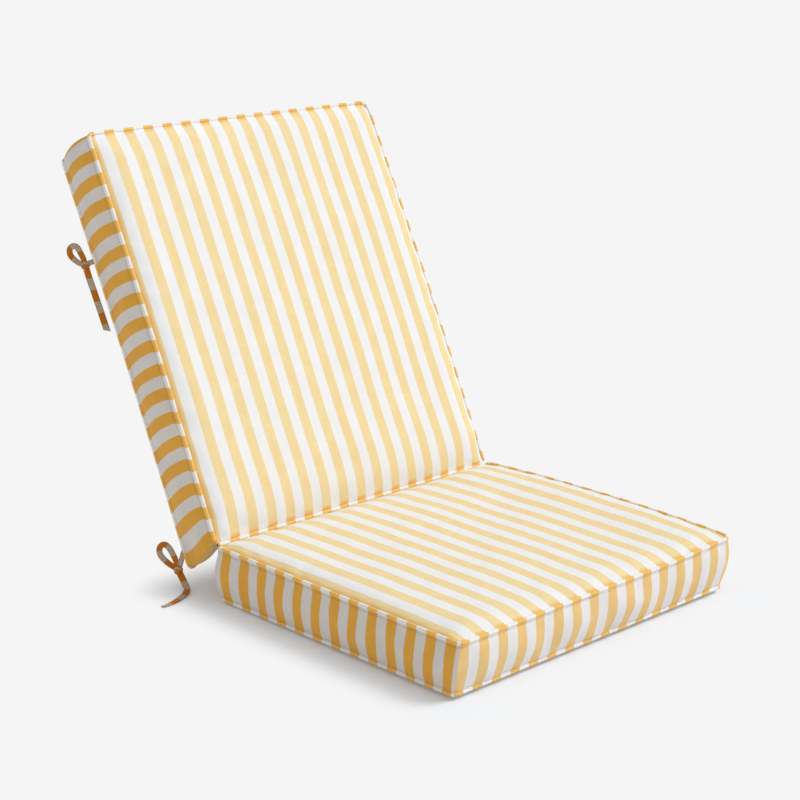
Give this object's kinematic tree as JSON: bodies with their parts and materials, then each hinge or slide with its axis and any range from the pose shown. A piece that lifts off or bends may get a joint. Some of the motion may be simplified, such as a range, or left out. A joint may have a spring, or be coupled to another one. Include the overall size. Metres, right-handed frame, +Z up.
{
  "type": "chair seat pad",
  "caption": "Hinged box cushion for an outdoor chair: a piped seat pad and a piped high back pad sewn together along one seam, with tie tapes on the back.",
  "frame": {"origin": "centre of the flat underside of the seat pad", "axes": "+Z up out of the seat, +X across the pads to the sitter's left, -Y towards the front edge of the seat; the back pad rises from the rear and leans towards +Y"},
  "size_m": [0.653, 0.7773, 0.5965],
  "materials": {
    "panel_cloth": "matte",
    "boxing_cloth": "matte",
    "piping": "matte",
    "tie_tape": "matte",
    "foam": "matte",
    "fibre": "matte",
    "welt_cord": "matte",
    "zip_tape": "matte",
    "zip_coil": "satin",
    "zip_metal": "satin"
  },
  "bodies": {
    "seat": {"seat_foam_core": "foam", "seat_fibre_wrap": "fibre", "seat_top_panel": "panel_cloth", "seat_bottom_panel": "panel_cloth", "seat_front_boxing": "boxing_cloth", "seat_left_boxing": "boxing_cloth", "seat_right_boxing": "boxing_cloth", "seat_rear_boxing_upper": "boxing_cloth", "seat_rear_boxing_lower": "boxing_cloth", "seat_top_welt": "piping", "seat_top_welt_cord": "welt_cord", "seat_bottom_welt": "piping", "seat_bottom_welt_cord": "welt_cord", "seat_zip_tapes": "zip_tape", "seat_zip_coils": "zip_coil", "seat_zip_stops": "zip_metal", "hinge_welt": "piping", "hinge_welt_cord": "welt_cord"},
    "back": {"back_foam_core": "foam", "back_fibre_wrap": "fibre", "back_front_panel": "panel_cloth", "back_rear_panel": "panel_cloth", "back_top_boxing": "boxing_cloth", "back_left_boxing": "boxing_cloth", "back_right_boxing": "boxing_cloth", "back_bottom_boxing_front": "boxing_cloth", "back_bottom_boxing_rear": "boxing_cloth", "back_front_welt": "piping", "back_front_welt_cord": "welt_cord", "back_rear_welt": "piping", "back_rear_welt_cord": "welt_cord", "back_zip_tapes": "zip_tape", "back_zip_coils": "zip_coil", "back_zip_stops": "zip_metal"},
    "seat_slider": {"seat_zip_slider": "zip_metal"},
    "seat_pull": {"seat_zip_pull": "zip_metal"},
    "back_slider": {"back_zip_slider": "zip_metal"},
    "back_pull": {"back_zip_pull": "zip_metal"},
    "tie_upper_left": {"tie_upper_left_bow": "tie_tape", "tie_upper_left_tail": "tie_tape"},
    "tie_lower_left": {"tie_lower_left_bow": "tie_tape", "tie_lower_left_tail": "tie_tape"},
    "tie_upper_right": {"tie_upper_right_bow": "tie_tape", "tie_upper_right_tail": "tie_tape"},
    "tie_lower_right": {"tie_lower_right_bow": "tie_tape", "tie_lower_right_tail": "tie_tape"}
  },
  "joints": [
    {"name": "back_fold", "type": "hinge", "parent": "seat", "child": "back", "pos_m": [0, 0.225, 0.078], "axis": [1, 0, 0], "range_deg": [-64, 104]},
    {"name": "seat_zip_run", "type": "slide", "parent": "seat", "child": "seat_slider", "axis": [1, 0, 0], "range_m": [0, 0.396]},
    {"name": "seat_pull_flip", "type": "hinge", "parent": "seat_slider", "child": "seat_pull", "pos_m": [-0.198, 0.223, 0.039], "axis": [1, 0, 0], "range_deg": [0, 150]},
    {"name": "back_zip_run", "type": "slide", "parent": "back", "child": "back_slider", "axis": [-1, 0, 0], "range_m": [0, 0.396]},
    {"name": "back_pull_flip", "type": "hinge", "parent": "back_slider", "child": "back_pull", "pos_m": [0.198, 0.26183, 0.06226], "axis": [-1, 0, 0], "range_deg": [0, 150]},
    {"name": "tie_upper_left_swing", "type": "hinge", "parent": "back", "child": "tie_upper_left", "pos_m": [-0.254, 0.47701, 0.41904], "axis": [0, -0.4384, -0.8988], "range_deg": [-62, 78], "stiffness_Nm_per_rad": 0.0002},
    {"name": "tie_lower_left_swing", "type": "hinge", "parent": "back", "child": "tie_lower_left", "pos_m": [-0.254, 0.29684, 0.04964], "axis": [0, -0.4384, -0.8988], "range_deg": [-62, 0], "stiffness_Nm_per_rad": 0.0002},
    {"name": "tie_upper_right_swing", "type": "hinge", "parent": "back", "child": "tie_upper_right", "pos_m": [0.254, 0.47701, 0.41904], "axis": [0, 0.4384, 0.8988], "range_deg": [-62, 78], "stiffness_Nm_per_rad": 0.0002},
    {"name": "tie_lower_right_swing", "type": "hinge", "parent": "back", "child": "tie_lower_right", "pos_m": [0.254, 0.29684, 0.04964], "axis": [0, 0.4384, 0.8988], "range_deg": [-62, 0], "stiffness_Nm_per_rad": 0.0002}
  ]
}
